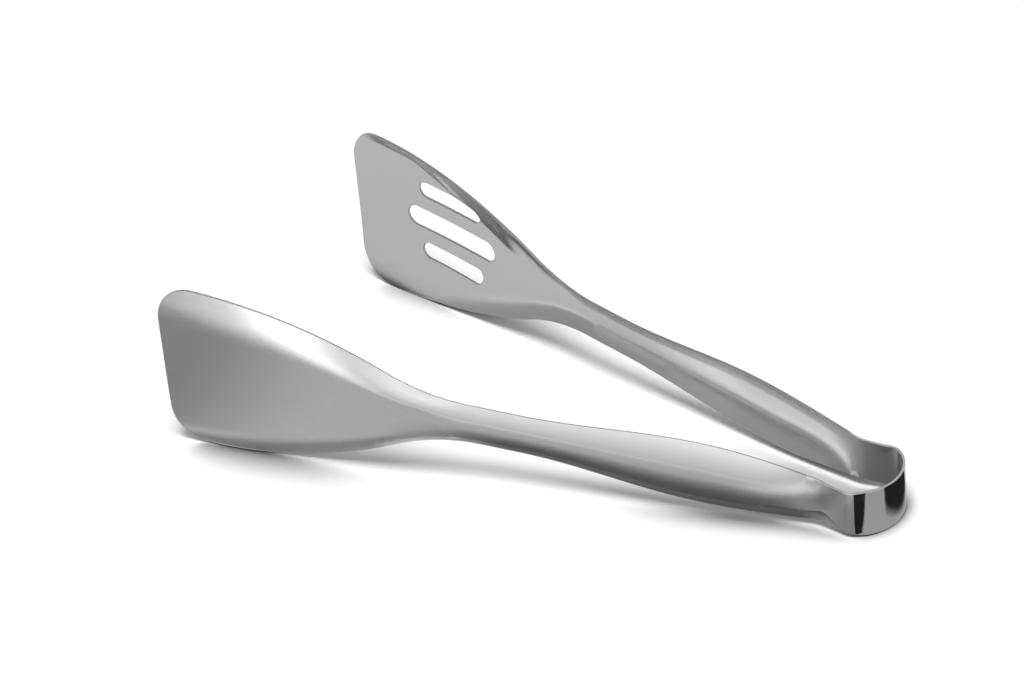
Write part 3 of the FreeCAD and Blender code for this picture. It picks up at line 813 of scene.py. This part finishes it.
def makeCard(name, corners, tone, cover, soft):
    mesh = bpy.data.meshes.new(name)
    mesh.from_pydata(corners, [], [(0, 1, 2, 3)])
    across = mesh.uv_layers.new(name="acrossCard")
    for loop, uv in zip(mesh.loops, [(0, 0), (1, 0), (1, 1), (0, 1)]):
        across.data[loop.index].uv = uv
    piece = bpy.data.objects.new(name, mesh)
    bpy.context.scene.collection.objects.link(piece)
    for ray in ("camera", "diffuse", "transmission", "volume_scatter", "shadow"):
        setattr(piece, "visible_" + ray, False)

    material = bpy.data.materials.new(name)
    material.use_nodes = True
    nodes, links = material.node_tree.nodes, material.node_tree.links
    nodes.clear()
    uv = nodes.new("ShaderNodeUVMap")
    uv.uv_map = "acrossCard"
    parts = nodes.new("ShaderNodeSeparateXYZ")
    links.new(uv.outputs["UV"], parts.inputs["Vector"])
    solid = cover
    for axis, edge, share in (("X", 0, soft[0]), ("X", 1, soft[1]), ("Y", 0, soft[2]), ("Y", 1, soft[3])):
        run = (edge, abs(edge - share))
        fade = rangeNode(nodes, links, parts.outputs[axis], run, kind="SMOOTHSTEP")
        solid = mathNode(nodes, links, "MULTIPLY", solid, fade)
    glow = nodes.new("ShaderNodeEmission")
    links.new(rangeNode(nodes, links, parts.outputs["Y"], end=tone), glow.inputs["Strength"])
    clear = nodes.new("ShaderNodeBsdfTransparent")
    mixed = nodes.new("ShaderNodeMixShader")
    links.new(solid, mixed.inputs["Fac"])
    links.new(clear.outputs[0], mixed.inputs[1])
    links.new(glow.outputs[0], mixed.inputs[2])
    out = nodes.new("ShaderNodeOutputMaterial")
    links.new(mixed.outputs[0], out.inputs["Surface"])
    mesh.materials.append(material)


def makeCards():
    for name, box in softboxes.items():
        left, right = box["foot"]
        leftTop, rightTop = box["top"]
        corners = [(*left, 0), (*right, 0), (*right, rightTop), (*left, leftTop)]
        makeCard(name, corners, box["tone"], 1.0, box["soft"])
    for name, shade in shades.items():
        corners = [(*point, shade["height"]) for point in shade["plan"]]
        makeCard(name, corners, (shade["tone"], shade["tone"]), shade["cover"], shade["soft"])


lamp = {"toward": (-0.21, 0.26, 0.94), "angle": 0.45, "strength": 3.0}
studioFill = (0.15, 0.85)  # what lights the table, and what the steel and the view show


def makeLamp():
    light = bpy.data.lights.new("overhead", "SUN")
    light.angle = lamp["angle"]
    light.energy = lamp["strength"]
    holder = bpy.data.objects.new("overhead", light)
    holder.location = lamp["toward"]
    holder.rotation_euler = Vector(lamp["toward"]).to_track_quat("Z", "Y").to_euler()
    holder.visible_glossy = False  # the cards are what the steel shows
    bpy.context.scene.collection.objects.link(holder)


def makeStudio():
    studio = bpy.data.worlds.new("studio")
    studio.use_nodes = True
    nodes, links = studio.node_tree.nodes, studio.node_tree.links
    background = nodes["Background"]
    background.inputs["Color"].default_value = (1, 1, 1, 1)
    shown = seenDirectly(nodes, links, nodes.new("ShaderNodeLightPath"))
    links.new(rangeNode(nodes, links, shown, end=studioFill), background.inputs["Strength"])
    bpy.context.scene.world = studio


cameraView = {
    "azimuth": 219.16, "elevation": 31.88, "roll": -8.89,
    "distance": 2.141, "aim": (0.04275, -0.02155, 0.02003),
    "lens": 192.1, "sensor": 36.0, "farthest": 20.0,
}


def makeCamera():
    camera = bpy.data.cameras.new("camera")
    holder = bpy.data.objects.new("camera", camera)
    azimuth = math.radians(cameraView["azimuth"])
    elevation = math.radians(cameraView["elevation"])
    back = Vector((math.sin(azimuth) * math.cos(elevation),
                   -math.cos(azimuth) * math.cos(elevation), math.sin(elevation)))
    holder.location = Vector(cameraView["aim"]) + back * cameraView["distance"]
    level = (-back).to_track_quat("-Z", "Y").to_matrix()
    roll = Matrix.Rotation(math.radians(cameraView["roll"]), 3, "Z")
    holder.rotation_euler = (level @ roll).to_euler()
    camera.lens = cameraView["lens"]
    camera.sensor_width = cameraView["sensor"]
    camera.clip_end = cameraView["farthest"]
    bpy.context.scene.collection.objects.link(holder)
    bpy.context.scene.camera = holder


makeTable()
makeCards()
makeLamp()
makeStudio()
bpy.context.scene.view_settings.view_transform = "Standard"
makeCamera()
print("stage set")
